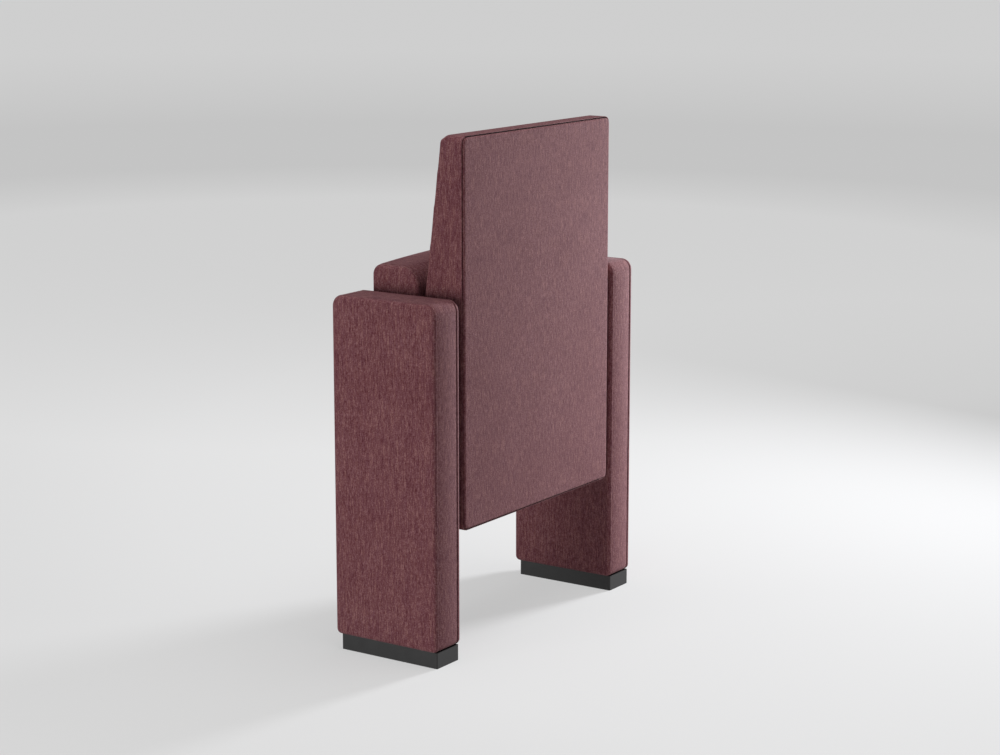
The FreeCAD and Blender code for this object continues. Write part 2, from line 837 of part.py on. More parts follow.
def make_spring():
    """The torsion spring: one wire with a short leg on the collar's lug and a long leg on the peg."""
    radius = size("spring_mid_radius")
    turns = size("spring_turns")
    low = size("coil_low")
    climb = size("spring_pitch") / (2 * math.pi)
    pivot = Vector(0, size("pivot_y"), size("pivot_z"))

    def on_coil(angle):
        place = Vector(low + climb * angle, radius * math.cos(angle), radius * math.sin(angle))
        way = Vector(climb, -radius * math.sin(angle), radius * math.cos(angle)).normalize()
        return pivot + place, way

    quarters = int(round(turns * 4))
    stations = [on_coil(math.radians(90) * i) for i in range(quarters + 1)]
    first, first_way = stations[0]
    last, last_way = stations[-1]
    tip = first - first_way * size("spring_short_leg")
    edges = [Part.LineSegment(tip, first).toShape()]
    for (a, a_way), (b, b_way) in zip(stations, stations[1:]):
        edges += biarc(a, a_way, b, b_way)
    edges.append(Part.LineSegment(last, last + last_way * size("spring_long_leg")).toShape())
    path = Part.Wire(edges)
    section = Part.Wire([Part.Circle(tip, first_way, size("spring_wire / 2")).toShape()])
    spring = doc.addObject("Part::Feature", "return_spring_left")
    spring.Shape = path.makePipeShell([section], True, False)
    spring.Placement = Placement()
    node("return_spring_left", spring)
    gap = size("spring_pitch - spring_wire")
    wanted = math.pi * size("spring_wire / 2") ** 2 * path.Length
    print("spring: gap between turns %.2f mm, volume %.0f of %.0f mm3" % (gap, spring.Shape.Volume, wanted))


# Back brackets, left

def make_bracket():
    """A folded steel angle: one leg on the panel, one flange on the front of the back board."""
    body = new_body("back_bracket_left")
    pad(body, "Z", "bracket_bottom", "bracket_top", lambda s: outline(s, [
        ("bracket_reach", "bracket_flange_front", None),
        ("bracket_low", "bracket_flange_front", None),
        ("bracket_low", "bracket_front", None),
        ("inner_face", "bracket_front", None),
        ("inner_face", "back_board_front", "bracket_thickness"),
        ("bracket_reach", "back_board_front", None),
    ]))

    def leg_holes(sketch):
        for z in BRACKET_LEVELS:
            circle(sketch, "rear_post_y", z, "bracket_screw_radius + fit_gap")

    def flange_holes(sketch):
        for z in BRACKET_LEVELS:
            circle(sketch, "back_screw_x", z, "back_screw_radius + fit_gap")

    pocket(body, "X", "bracket_low", "inner_face", leg_holes)
    pocket(body, "Y", "bracket_flange_front", "back_board_front", flange_holes)


# Hinge parts on the seat, left

def make_arm():
    """The steel arm in the side of the seat, with the bore for the bush and the peg for the spring."""
    body = new_body("hinge_arm_left")
    pad(body, "X", "arm_low", "arm_high", lambda s: outline(s, [
        ("pivot_y - arm_front", "pivot_z - arm_below", "arm_corner"),
        ("pivot_y + arm_back", "pivot_z - arm_below", "arm_corner"),
        ("pivot_y + arm_back", "pivot_z + arm_lobe", "arm_corner"),
        ("pivot_y + arm_neck", "pivot_z + arm_shoulder", "arm_corner"),
        ("pivot_y + arm_neck", "pivot_z + arm_above", "arm_corner"),
        ("pivot_y - arm_front", "pivot_z + arm_above", "arm_corner"),
    ]))

    def holes(sketch):
        circle(sketch, "pivot_y", "pivot_z", "bush_outer + fit_gap")
        circle(sketch, "stud_y", "stud_z", "stud_radius + fit_gap")
        for z in ARM_SCREW_LEVELS:
            circle(sketch, "arm_screw_y", z, "arm_screw_radius + fit_gap")

    pocket(body, "X", "arm_low", "arm_high", holes)
    pad(body, "X", "coil_high - spring_wire", "arm_low", lambda s: circle(
        s, "peg_y", "peg_z", "peg_radius"))


def make_bush():
    body = new_body("pivot_bush_left")
    revolve(body, [
        ("bush_low", "bush_inner", None),
        ("bush_high", "bush_inner", None),
        ("bush_high", "bush_flange_radius", None),
        ("arm_high", "bush_flange_radius", None),
        ("arm_high", "bush_outer", None),
        ("bush_low", "bush_outer", None),
    ])
    at_pivot(body)


def make_stud():
    """The stud that rides in the stop plate's slot."""
    body = new_body("stop_stud_left")
    revolve(body, [
        ("arm_low", "0", None),
        ("stud_end", "0", None),
        ("stud_end", "stud_radius", None),
        ("arm_high + stud_flange_thickness", "stud_radius", None),
        ("arm_high + stud_flange_thickness", "stud_flange_radius", None),
        ("arm_high", "stud_flange_radius", None),
        ("arm_high", "stud_radius", None),
        ("arm_low", "stud_radius", None),
    ])
    bind(body, ".Placement.Base.y", "stud_y")
    bind(body, ".Placement.Base.z", "stud_z")


# Seat

CROWN_STATIONS = (("-1", "0"), ("-0.5", "0.75"), ("0", "1"), ("0.5", "0.75"), ("1", "0"))


def loft_across(body, half_width, section):
    """A form lofted across X through five sections, fullest in the middle. section draws each one."""
    sketches = []
    for share, fullness in CROWN_STATIONS:
        sketch = new_sketch(body, "X", "%s * %s" % (half_width, share))
        section(sketch, fullness)
        sketches.append(sketch)
    loft = body.newObject("PartDesign::AdditiveLoft", body.Name + "_form")
    loft.Profile = sketches[0]
    loft.Sections = sketches[1:]
    doc.recompute()
    return loft


def seat_section(sketch, fullness):
    nose = "seat_top + seat_nose_crown * " + fullness
    face = "%s + seat_crown * " + fullness
    outline(sketch, [
        ("seat_front_y", "seat_bottom", "seat_bottom_corner"),
        (face % "seat_rear_bottom", "seat_bottom", "seat_heel_radius"),
        (face % "seat_rear_top", nose, "seat_nose_radius"),
        ("seat_front_y", nose, "seat_top_corner"),
    ])


def core_outline(sketch, play="0"):
    rectangle(
        sketch,
        "-core_side + " + play, "core_bottom + " + play,
        "core_side - " + play, "core_top - " + play,
        "under_panel_radius")


def bay_outline(sketch):
    """The space round each hinge, at both sides of the seat."""
    low, high = "pivot_z - hinge_bay_below", "pivot_z + hinge_bay_above"
    rectangle(sketch, "bay_low", low, "core_side", high)
    rectangle(sketch, "-core_side", low, "-bay_low", high)


def arm_recess(sketch):
    rectangle(
        sketch,
        "pivot_y - arm_front - soft_gap", "pivot_z - arm_below - soft_gap",
        "pivot_y + arm_back + soft_gap", "pivot_z + arm_above + soft_gap",
        "arm_corner")


def make_seat_cushion():
    body = new_body("seat_cushion")
    loft_across(body, "seat_side", seat_section)
    pocket(body, "Y", "seat_front_y - cut_over", "seat_board_back", core_outline)
    pocket(body, "Y", "frame_back", "seat_board_back + hinge_bay_depth", bay_outline)

    def flange_holes(sketch):
        circle(sketch, "pivot_y", "pivot_z", "bush_flange_radius + soft_gap")
        circle(sketch, "stud_y", "stud_z", "stud_flange_radius + soft_gap")

    def head_holes(sketch):
        for z in ARM_SCREW_LEVELS:
            circle(sketch, "arm_screw_y", z, "arm_head_radius + soft_gap")

    for low, high in both_ways("core_side - cut_over", "arm_high + soft_gap"):
        pocket(body, "X", low, high, arm_recess)
    for low, high in both_ways("arm_high", "seat_side + cut_over"):
        pocket(body, "X", low, high, flange_holes)
    for low, high in both_ways("arm_high", "arm_high + arm_head_height + soft_gap"):
        pocket(body, "X", low, high, head_holes)


def make_seat_board():
    body = new_body("seat_board")
    pad(body, "Y", "frame_back", "seat_board_back", lambda s: core_outline(s, "soft_gap"))
    pocket(body, "Y", "frame_back", "seat_board_back", bay_outline)


UNDER_STUDS = [
    (x, z)
    for x in ("-core_side + frame_depth / 2", "core_side - frame_depth / 2")
    for z in ("frame_rear_z + frame_depth / 2", "(frame_rear_z + frame_top) / 2", "frame_top - frame_depth / 2")
]


def make_seat_frame():
    """A pressed steel ring of channel section under the front part of the board, with one bar."""
    body = new_body("seat_frame")

    def ring(sketch):
        rectangle(
            sketch,
            "-core_side + soft_gap", "frame_rear_z",
            "core_side - soft_gap", "frame_top", "under_panel_radius")
        rectangle(
            sketch,
            "-core_side + frame_depth", "frame_rear_z + frame_depth",
            "core_side - frame_depth", "frame_top - frame_depth")

    pad(body, "Y", "under_panel_back", "frame_back", ring)
    pad(body, "Y", "under_panel_back", "frame_back", lambda s: rectangle(
        s,
        "-frame_depth / 2", "frame_rear_z + frame_depth / 2",
        "frame_depth / 2", "frame_top - frame_depth / 2"))

    def channel(sketch):
        rectangle(
            sketch,
            "-core_side + soft_gap + frame_wall", "frame_rear_z + frame_wall",
            "core_side - soft_gap - frame_wall", "frame_top - frame_wall")
        rectangle(
            sketch,
            "-core_side + frame_depth - frame_wall", "frame_rear_z + frame_depth - frame_wall",
            "core_side - frame_depth + frame_wall", "frame_top - frame_depth + frame_wall")

    pocket(body, "Y", "under_panel_back + frame_wall", "frame_back", channel)

    def bar_channel(sketch):
        rectangle(
            sketch,
            "-frame_depth / 2 + frame_wall", "frame_rear_z + frame_depth",
            "frame_depth / 2 - frame_wall", "frame_top - frame_depth")

    pocket(body, "Y", "under_panel_back + frame_wall", "frame_back", bar_channel)

    def stud_holes(sketch):
        for x, z in UNDER_STUDS:
            circle(sketch, x, z, "under_stud_radius + fit_gap")

    pocket(body, "Y", "under_panel_back", "under_panel_back + frame_wall", stud_holes)

    def arm_holes(sketch):
        for z in ARM_SCREW_LEVELS:
            circle(sketch, "arm_screw_y", z, "arm_screw_radius + fit_gap")

    for low, high in both_ways("core_side - frame_wall - cut_over", "core_side"):
        pocket(body, "X", low, high, arm_holes)


def make_under_panel():
    """The upholstered board that closes the underside and faces the front when the seat is up."""
    body = new_body("seat_under_panel")
    block = pad(body, "Y", "seat_front_y", "under_panel_back", lambda s: core_outline(s, "soft_gap"))
    round_edges(body, block, "pad_edge / 2", lies_at("y", "seat_front_y"))

    def stud_holes(sketch):
        for x, z in UNDER_STUDS:
            circle(sketch, x, z, "under_stud_radius + fit_gap")

    pocket(body, "Y", "under_panel_back - under_stud_head", "under_panel_back", stud_holes)


# Back

def back_section(sketch, fullness):
    front_top = "back_front_top - back_crown / 2 * " + fullness
    front_arm = "back_front_arm - back_crown * " + fullness
    outline(sketch, [
        ("rear_panel_front", "back_bottom", "back_corner"),
        ("rear_panel_front", "back_top", "back_corner"),
        (front_top, "back_top", "back_top_radius"),
        (front_arm, "arm_height", "back_knee_radius"),
        (front_arm, "back_cushion_bottom", "back_chin_radius"),
        ("lining_front", "back_cushion_bottom", "back_inside_radius"),
        ("lining_front", "back_bottom", "back_corner"),
    ])


def back_board_outline(sketch, play="0"):
    rectangle(
        sketch,
        "-back_board_side + " + play, "back_board_bottom + " + play,
        "back_board_side - " + play, "back_board_top - " + play,
        "back_board_radius")


def bracket_recess(sketch):
    low, high = "bracket_bottom - soft_gap", "bracket_top + soft_gap"
    rectangle(sketch, "bracket_reach - soft_gap", low, "back_side + cut_over", high)
    rectangle(sketch, "-back_side - cut_over", low, "-bracket_reach + soft_gap", high)


def make_back_cushion():
    body = new_body("back_cushion")
    loft_across(body, "back_side", back_section)
    pocket(body, "Y", "back_board_front", "rear_panel_front + cut_over", back_board_outline)
    pocket(body, "Y", "bracket_flange_front - soft_gap", "back_board_front", bracket_recess)


BACK_STUDS = [
    (x, z)
    for x in ("-back_stud_side", "0", "back_stud_side")
    for z in ("back_board_bottom + back_stud_inset", "back_board_top - back_stud_inset")
]


def back_screw_places():
    return [(x, z) for x in ("back_screw_x", "-back_screw_x") for z in BRACKET_LEVELS]


def make_back_board():
    body = new_body("back_board")
    pad(body, "Y", "back_board_front", "rear_panel_front", lambda s: back_board_outline(s, "soft_gap"))

    def through(sketch):
        for x, z in back_screw_places():
            circle(sketch, x, z, "back_screw_radius + fit_gap")

    def heads(sketch):
        for x, z in back_screw_places():
            circle(sketch, x, z, "back_head_radius + fit_gap")

    def studs(sketch):
        for x, z in BACK_STUDS:
            circle(sketch, x, z, "back_stud_radius + fit_gap")

    pocket(body, "Y", "back_board_front", "rear_panel_front", through)
    pocket(body, "Y", "rear_panel_front - back_head_height", "rear_panel_front", heads)
    pocket(body, "Y", "rear_panel_front - back_stud_depth", "rear_panel_front", studs)


def make_rear_panel():
    """The tall upholstered panel that closes the back, with a small step all round it."""
    body = new_body("back_rear_panel")
    block = pad(body, "Y", "rear_panel_front", "panel_rear", lambda s: rectangle(
        s,
        "-back_side + rear_panel_inset", "back_bottom + rear_panel_inset",
        "back_side - rear_panel_inset", "back_top - rear_panel_inset",
        "rear_panel_radius"))
    round_edges(body, block, "rear_panel_edge", lies_at("y", "panel_rear"))

    def studs(sketch):
        for x, z in BACK_STUDS:
            circle(sketch, x, z, "back_stud_radius + fit_gap")

    pocket(body, "Y", "rear_panel_front", "rear_panel_front + back_stud_depth", studs)


# Fasteners

def make_fasteners():
    stub_screws = [
        screw("stub_screw_%s" % name, "X", "post_low + flange_screw_reach", "flange_low",
              "flange_low - flange_head_height", ("pivot_y", "pivot_z %s flange_screw_pitch / 2" % turn),
              "flange_screw_radius", "flange_head_radius")
        for name, turn in (("low", "-"), ("high", "+"))
    ]
    group("stub_screws", both_sides(stub_screws))

    stop_screws = [
        screw("stop_screw_%d" % i, "X", "inner_board_low + stop_screw_reach", "stop_plate_low",
              "stop_plate_low - stop_head_height", place, "stop_screw_radius", "stop_head_radius")
        for i, place in enumerate(stop_screw_places())
    ]
    group("stop_plate_screws", both_sides(stop_screws))

    bracket_screws = [
        screw("bracket_screw_%d" % i, "X", "post_low + bracket_screw_reach", "bracket_low",
              "bracket_low - bracket_head_height", ("rear_post_y", z),
              "bracket_screw_radius", "bracket_head_radius")
        for i, z in enumerate(BRACKET_LEVELS)
    ]
    group("bracket_screws", both_sides(bracket_screws))

    arm_screws = [
        screw("arm_screw_%d" % i, "X", "core_side - arm_screw_reach", "arm_high",
              "arm_high + arm_head_height", ("arm_screw_y", z),
              "arm_screw_radius", "arm_head_radius")
        for i, z in enumerate(ARM_SCREW_LEVELS)
    ]
    group("arm_screws", both_sides(arm_screws))

    group("back_board_screws", [
        screw("back_screw_%d" % i, "Y", "bracket_flange_front", "rear_panel_front - back_head_height",
              "rear_panel_front", place, "back_screw_radius", "back_head_radius")
        for i, place in enumerate(back_screw_places())
    ])
    group("rear_panel_studs", [
        rod("rear_panel_stud_%d" % i, "Y", "rear_panel_front - back_stud_depth",
            "rear_panel_front + back_stud_depth", place, "back_stud_radius")
        for i, place in enumerate(BACK_STUDS)
    ])
    group("under_panel_studs", [
        rod("under_panel_stud_%d" % i, "Y", "under_panel_back - under_stud_head",
            "under_panel_back + frame_wall", place, "under_stud_radius")
        for i, place in enumerate(UNDER_STUDS)
    ])


make_foot()
make_plinth()
make_side_frame()
make_boards()
make_pads()
make_border()
make_stub()
make_stop_plate()
make_collar_and_clip()
make_spring()
make_bracket()
make_arm()
make_bush()
make_stud()
for label in [name for name in nodes if name.endswith("_left")]:
    twin = label.replace("_left", "_right")
    node(twin, mirrored(twin, nodes[label]))
make_seat_cushion()
make_seat_board()
make_seat_frame()
make_under_panel()
make_back_cushion()
make_back_board()
make_rear_panel()
make_fasteners()

doc.recompute()

# Checks, then one file for each sub-part

for item in doc.Objects:
    if "Invalid" in item.State or "Error" in item.State:
        sys.exit("%s failed: %s" % (item.Label, item.State))
for label, item in nodes.items():
    shape = item.Shape
    if shape.isNull() or not shape.isValid() or shape.Volume <= 0:
        sys.exit("%s has no good shape" % label)

os.makedirs("parts", exist_ok=True)
for label, item in nodes.items():
    item.Shape.exportStep(os.path.join("parts", label + ".step"))
    print("%-28s %2d solids %12.0f mm3" % (label, len(item.Shape.Solids), item.Shape.Volume))
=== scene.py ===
import math

import bpy
import numpy as np
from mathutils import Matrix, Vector


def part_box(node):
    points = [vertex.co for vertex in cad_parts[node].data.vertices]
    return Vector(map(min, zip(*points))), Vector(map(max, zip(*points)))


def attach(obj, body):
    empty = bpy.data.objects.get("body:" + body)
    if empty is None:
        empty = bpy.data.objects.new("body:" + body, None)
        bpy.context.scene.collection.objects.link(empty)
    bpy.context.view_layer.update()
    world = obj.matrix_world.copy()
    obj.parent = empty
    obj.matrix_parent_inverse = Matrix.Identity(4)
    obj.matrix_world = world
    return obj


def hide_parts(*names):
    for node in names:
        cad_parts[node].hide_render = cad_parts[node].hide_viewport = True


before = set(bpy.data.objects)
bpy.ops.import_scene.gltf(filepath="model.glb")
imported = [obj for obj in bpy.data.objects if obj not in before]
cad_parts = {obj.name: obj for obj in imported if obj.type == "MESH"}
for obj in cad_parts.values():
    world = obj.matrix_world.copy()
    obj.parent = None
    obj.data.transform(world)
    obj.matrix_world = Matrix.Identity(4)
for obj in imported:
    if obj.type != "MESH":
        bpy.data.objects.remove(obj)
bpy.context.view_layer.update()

X, Y, Z = 0, 1, 2

# Sizes in metres

# side panels
PANEL_TOP_RADIUS = 0.020
PANEL_FOOT_RADIUS = 0.010
PAD_EDGE = 0.008
PAD_EDGE_STEPS = 7
PAD_CROWN = 0.0012
SEAM_PINCH = 0.0008
BAND_EDGE = 0.0015
BAND_CROWN = 0.0015
BAND_ROLL = 0.0010
ROLL_FLATNESS = 3
BAND_ROW = 0.006
# seat
SEAT_PAD = 0.010
SEAT_TAPER = 0.019
SEAT_CROWN = 0.007
SEAT_NOSE_CROWN = 0.008
SEAT_NOSE_RADIUS = 0.040
SEAT_FRONT_RADIUS = 0.019
SEAT_HEEL_RADIUS = 0.016
SEAT_FOOT_RADIUS = 0.008
SEAT_SWELL = 0.003
UNDER_PANEL_RADIUS = 0.014
UNDER_PANEL_CROWN = 0.001
TRAY_GAP = 0.0004
# back
BACK_LIP = 0.011
BACK_LINING = 0.008
BACK_TOP_DEPTH = 0.046
BACK_ARM_DEPTH = 0.081
BACK_CHIN = 0.420
BACK_CROWN = 0.004
BACK_TOP_RADIUS = 0.014
BACK_KNEE_WIDTH = 0.009
BACK_CHIN_RADIUS = 0.024
BACK_INSIDE_RADIUS = 0.008
BACK_CORNER_RADIUS = 0.014
BACK_RIM = 0.003
# rows of points across a round corner, as shares of its radius
CORNER_ROWS = (0.33, 0.59, 0.80, 1.0)
SEAM_OPENING = 0.0016
BACK_SWELL = 0.0025
REAR_CORNER_RADIUS = 0.012
REAR_EDGE = 0.0035
REAR_CROWN = 0.0008
# foam and its mesh rows
ROW = 0.012
FINE_ROW = 0.008
FOAM_PRESSURE = 4.0
FOAM_FRAMES = 20
# how finely things are rounded, and how close counts as the same place
CORNER_STEPS = 8
EDGE_STEPS = 4
PINCH_STEPS = 2
NEAR = 1e-5
NEAR_EDGE = 1e-4
STRAIGHT = 0.999
SQUARE_ON = 0.9
FAR = 1
# camera
LENS_MM = 84.31
SENSOR_MM = 36
CAMERA_PLACE = (3.4934, 2.3808, 1.3064)
CAMERA_YAW = 55.993
CAMERA_PITCH = 11.411
# cloth
CLOTH_SPREAD = (0.38, 0.5, 0.62)
CLOTH_TONES = ((92, 43, 46), (119, 72, 76), (148, 106, 110))
VIOLET_TINT = (0.97, 0.98, 1.12, 1)
RUST_TINT = (1.03, 1.0, 0.90, 1)
SEAT_FOLD = -0.035
BACK_FOLD = 0.070
SPECKS_PER_METRE = 480
CLOUDS_PER_METRE = 9
SLUB_WIDTH = 0.0024
SLUB_LENGTH = 0.034
THREAD_WIDTH = 0.0014
THREAD_LENGTH = 0.010
# stage
FLOOR_SIZE = 160
FLOOR_TONE = (0.5, 0.5, 0.5, 1)
# floor tones by distance d from a place, as stops at d / (d + half reach): a painted pool of light that
# glows for camera and glossy rays, and painted shade that dims the floor's seen colour near the key
# lamp
PAINTED_LIGHT_POOL_PLACE = (-3.0, -2.5, 0.0)
PAINTED_LIGHT_HALF_REACH = 2.0
# painted pool of light: the floor's glow for camera and glossy rays, by distance from a place
PAINTED_LIGHT_POOL_TONES = ((0.56, 0.58), (0.66, 0.50), (0.76, 0.50), (0.87, 0.57))
# painted shade: the floor's seen tone, darker near the key lamp
PAINTED_SHADE_NEAR_KEY_TONES = ((0.30, 0.06), (0.55, 0.28))
# light
SKY_STRENGTH = 0.17
KEY_PLACE = (-1.9, 0.55, 0.8)
KEY_TARGET = (0, 0.1, 0.4)
KEY_TONE = (0.96, 0.97, 1)
FILL_PLACE = (3.0, -0.8, 0.4)
FILL_TARGET = (0, 0, 0.4)
OVERHEAD_PLACE = (0, 0.5, 3)


# Picking and shaping in edit mode

def start_fresh():
    if bpy.context.object and bpy.context.object.mode != "OBJECT":
        bpy.ops.object.mode_set(mode="OBJECT")
    bpy.ops.object.select_all(action="DESELECT")


def take(piece):
    """Makes a piece the one that operators act on."""
    start_fresh()
    bpy.context.view_layer.objects.active = piece
    piece.select_set(True)


def pick(piece, kind, wanted):
    """Selects the vertices, edges or faces that a test accepts, and enters edit mode."""
    take(piece)
    mesh = piece.data
    for group in (mesh.vertices, mesh.edges, mesh.polygons):
        group.foreach_set("select", np.zeros(len(group), dtype=bool))
    parts = {"VERT": mesh.vertices, "EDGE": mesh.edges, "FACE": mesh.polygons}[kind]
    for part in parts:
        part.select = wanted(part)
    bpy.ops.object.mode_set(mode="EDIT")
    bpy.ops.mesh.select_mode(type=kind)


def along(piece, axis, near=None):
    """A test for edges along an axis, all of them or only the one through a point."""
    mesh = piece.data

    def test(edge):
        a, b = (mesh.vertices[i].co for i in edge.vertices)
        if abs((b - a).normalized()[axis]) < STRAIGHT:
            return False
        if near is None:
            return True
        gap = a - Vector(near)
        gap[axis] = 0
        return gap.length < NEAR_EDGE

    return test


def rim(piece, axis, *levels):
    """A test for edges that lie in the planes at some levels of an axis."""
    mesh = piece.data

    def test(edge):
        places = [mesh.vertices[i].co[axis] for i in edge.vertices]
        return any(all(abs(place - level) < NEAR for place in places) for level in levels)

    return test


def facing(axis, way, low, high):
    """A test for faces that look one way along an axis and lie within a box."""
    def test(face):
        inside = all(a - NEAR < c < b + NEAR for a, c, b in zip(low, face.center, high))
        return inside and face.normal[axis] * way > SQUARE_ON

    return test


def block(name, low, high):
    """A closed box between two corners, its place in its mesh."""
    start_fresh()
    low, high = Vector(low), Vector(high)
    bpy.ops.mesh.primitive_cube_add(size=1, location=(low + high) / 2, scale=high - low)
    piece = bpy.context.object
    piece.name = name
    piece.data.name = name
    bpy.ops.object.transform_apply(location=True, rotation=True, scale=True)
    return piece


def bevel(piece, wanted, radius, steps):
    pick(piece, "EDGE", wanted)
    bpy.ops.mesh.bevel(offset=radius, offset_type="OFFSET", segments=steps, profile=0.5, affect="EDGES")
    bpy.ops.object.mode_set(mode="OBJECT")


def cut(piece, axis, *levels):
    """Cuts the mesh by planes square to an axis, so that its faces have edges there."""
    take(piece)
    bpy.ops.object.mode_set(mode="EDIT")
    normal = [0, 0, 0]
    normal[axis] = 1
    for level in levels:
        place = [0, 0, 0]
        place[axis] = level
        bpy.ops.mesh.select_all(action="SELECT")
        bpy.ops.mesh.bisect(plane_co=place, plane_no=normal)
    bpy.ops.object.mode_set(mode="OBJECT")


def cut_rows(piece, axis, spacing):
    """Even cuts from end to end of a piece, about a spacing apart."""
    places = points_of(piece)[:, axis]
    low, high = places.min(), places.max()
    count = max(2, round((high - low) / spacing))
    cut(piece, axis, *(low + (high - low) * (i + 0.5) / count for i in range(count)))


def move(piece, kind, wanted, way):
    pick(piece, kind, wanted)
    bpy.ops.transform.translate(value=way)
    bpy.ops.object.mode_set(mode="OBJECT")


def push(piece, wanted, way):
    """Extrudes the faces that a test accepts."""
    pick(piece, "FACE", wanted)
    bpy.ops.mesh.extrude_region_move(TRANSFORM_OT_translate={"value": way})
    bpy.ops.object.mode_set(mode="OBJECT")


def points_of(piece):
    places = np.empty(len(piece.data.vertices) * 3)
    piece.data.vertices.foreach_get("co", places)
    return places.reshape(-1, 3)


def put_points(piece, places):
    piece.data.vertices.foreach_set("co", places.ravel())
    piece.data.update()


# Foam under cloth

def fill_with_foam(piece, swell, held):
    """Swells a piece under light pressure, its furthest point by swell.

    held gives each point's hold, from 0 for free to 1 for fixed.
    """
    rest = points_of(piece)
    share = np.clip(held(rest), 0, 1)
    glue = piece.vertex_groups.new(name="glue")
    for i in np.flatnonzero(share):
        glue.add([int(i)], float(share[i]), "REPLACE")
    take(piece)
    cloth = piece.modifiers.new("Foam", "CLOTH")
    cloth.settings.use_pressure = True
    cloth.settings.uniform_pressure_force = FOAM_PRESSURE
    cloth.settings.effector_weights.gravity = 0
    cloth.settings.vertex_group_mass = "glue"
    cloth.point_cache.frame_start = 1
    cloth.point_cache.frame_end = FOAM_FRAMES
    scene = bpy.context.scene
    for step in range(1, FOAM_FRAMES + 1):
        scene.frame_set(step)
    swollen = piece.evaluated_get(bpy.context.evaluated_depsgraph_get())
    moved = points_of(swollen) - rest
    piece.modifiers.remove(cloth)
    piece.vertex_groups.clear()
    scene.frame_set(1)
    furthest = np.linalg.norm(moved, axis=1).max()
    put_points(piece, rest + moved * min(1, swell / max(furthest, NEAR)))
    finish_cover(piece)


def finish_cover(piece):
    take(piece)
    step = piece.modifiers.new("Smooth", "SUBSURF")
    step.levels = 1
    step.render_levels = 1
    bpy.ops.object.modifier_apply(modifier=step.name)
    bpy.ops.object.shade_smooth()


def mirrored_copy(piece, name, middle=0.0):
    """The same piece on the other side of a middle plane, its faces still outwards."""
    twin = piece.copy()
    twin.data = piece.data.copy()
    twin.name = name
    twin.data.name = name
    bpy.context.collection.objects.link(twin)
    places = points_of(twin)
    places[:, X] = 2 * middle - places[:, X]
    put_points(twin, places)
    twin.data.flip_normals()
    return twin


def dressed(piece, body, node, cloth):
    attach(piece, body)
    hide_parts(node)
    piece.data.materials.clear()
    piece.data.materials.append(cloth)


def all_but(axis, level, depth):
    """Free only at a level of an axis, and more and more held over a depth below it."""
    def held(places):
        return np.abs(places[:, axis] - level) / depth

    return held


# Side panels

def panel_form(name, low, high):
    """A box of the panel's outline: round at the top corners, tighter at the foot."""
    piece = block(name, low, high)
    for y in (low[Y], high[Y]):
        bevel(piece, along(piece, X, (0, y, high[Z])), PANEL_TOP_RADIUS, CORNER_STEPS)
        bevel(piece, along(piece, X, (0, y, low[Z])), PANEL_FOOT_RADIUS, CORNER_STEPS)
    return piece


def make_panels():
    low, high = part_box("side_border_left")
    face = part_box("side_outer_pad_left")[1][X]
    outer = panel_form("side_outer_pad_cover_left", (high[X], low[Y], low[Z]), (face, high[Y], high[Z]))
    bevel(outer, rim(outer, X, face), PAD_EDGE, PAD_EDGE_STEPS)
    bevel(outer, rim(outer, X, high[X]), SEAM_PINCH, PINCH_STEPS)
    cut_rows(outer, Y, ROW)
    cut_rows(outer, Z, ROW)
    fill_with_foam(outer, PAD_CROWN, all_but(X, face, PAD_EDGE / 4))

    band = panel_form("side_border_cover_left", low, high)
    bevel(band, rim(band, X, low[X], high[X]), BAND_EDGE, PINCH_STEPS)
    cut_rows(band, X, BAND_ROW)
    cut_rows(band, Y, ROW)
    cut_rows(band, Z, ROW)
    middle = (low[X] + high[X]) / 2
    half = (high[X] - low[X]) / 2
    places = points_of(band)
    places[:, Y] *= 1 - BAND_ROLL / high[Y] * (np.abs(places[:, X] - middle) / half) ** ROLL_FLATNESS
    put_points(band, places)

    def band_held(places):
        return (np.abs(places[:, X] - middle) - half + 2 * BAND_EDGE) / BAND_EDGE

    fill_with_foam(band, BAND_CROWN, band_held)

    inner = mirrored_copy(outer, "side_inner_pad_cover_left", middle)
    for left, node in ((outer, "side_outer_pad"), (inner, "side_inner_pad"), (band, "side_border")):
        right = mirrored_copy(left, left.name.replace("left", "right"))
        dressed(left, "stand", node + "_left", PANEL_CLOTH)
        dressed(right, "stand", node + "_right", PANEL_CLOTH)


# Seat

def seat_form(name, low, high):
    """The seat's side outline between two corners: a big round nose behind, a smaller one in front."""
    (x_low, front, foot), (x_high, rear, top) = low, high
    piece = block(name, (x_low, front, foot), (x_high, rear, top))
    move(
        piece, "VERT", lambda v: v.co.y > rear - NEAR and v.co.z < foot + NEAR,
        (0, -SEAT_TAPER, 0),
    )
    for place, radius in (
        ((0, front, foot), SEAT_FOOT_RADIUS),
        ((0, front, top), SEAT_FRONT_RADIUS),
        ((0, rear, top), SEAT_NOSE_RADIUS),
        ((0, rear - SEAT_TAPER, foot), SEAT_HEEL_RADIUS),
    ):
        bevel(piece, along(piece, X, place), radius, CORNER_STEPS)
    return piece


def cut_tray(piece, low, high, depth, radius):
    """A shallow tray with round corners in a face square to Y, for the board that closes it."""
    cut(piece, X, low[X], high[X])
    cut(piece, Z, low[Z], high[Z])
    way = 1 if depth < 0 else -1
    push(piece, facing(Y, way, (low[X], -FAR, low[Z]), (high[X], FAR, high[Z])), (0, depth, 0))
    for x in (low[X], high[X]):
        for z in (low[Z], high[Z]):
            bevel(piece, along(piece, Y, (x, 0, z)), radius, CORNER_STEPS)


